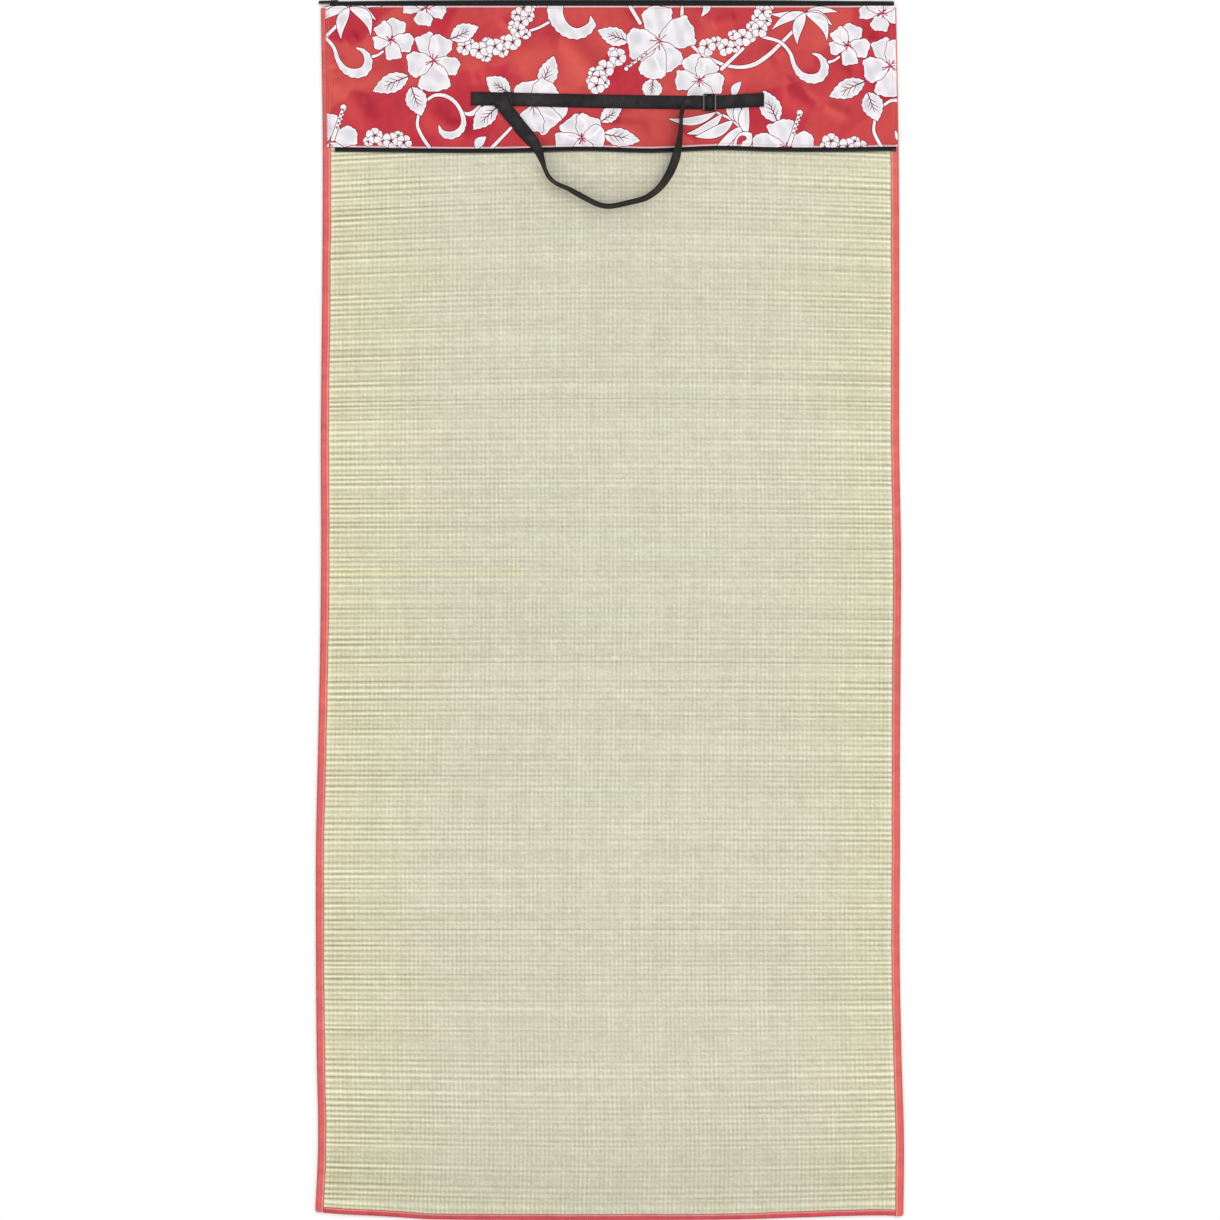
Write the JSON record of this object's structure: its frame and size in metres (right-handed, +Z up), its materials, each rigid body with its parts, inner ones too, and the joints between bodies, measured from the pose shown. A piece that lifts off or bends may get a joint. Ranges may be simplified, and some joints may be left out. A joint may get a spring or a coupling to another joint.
{
  "type": "beach mat",
  "caption": "Flat woven straw beach mat bound in coral tape, with a hibiscus-print panel edged in zip halves and a black webbing carry handle.",
  "frame": {"origin": "bottom centre of the mat's box, on the surface that it lies on", "axes": "+Y along the mat towards its printed head end, +X to the right as seen from above, +Z up from the ribbed face"},
  "size_m": [0.868, 1.8, 0.0257],
  "materials": {
    "straw": "woven rush straw, dry and slightly uneven",
    "binding": "coral woven tape, matt",
    "printed_cloth": "plain-weave cloth printed red with white flowers",
    "zip_tape": "black woven tape with a fine coil",
    "zip_metal": "dark painted metal",
    "zip_end": "pale moulded plastic",
    "webbing": "black woven webbing, matt",
    "adjuster_plastic": "black moulded plastic, satin"
  },
  "bodies": {
    "root": {"straw_sheet": "straw", "binding_left": "binding", "binding_right": "binding", "binding_foot": "binding", "panel": "printed_cloth", "zip_half_head": "zip_tape", "zip_half_foot": "zip_tape", "zip_slider": "zip_metal", "zip_pull": "zip_metal", "zip_pin_head": "zip_end", "zip_box_foot": "zip_end", "band": "webbing", "handle": "webbing", "adjuster": "adjuster_plastic"}
  },
  "joints": []
}
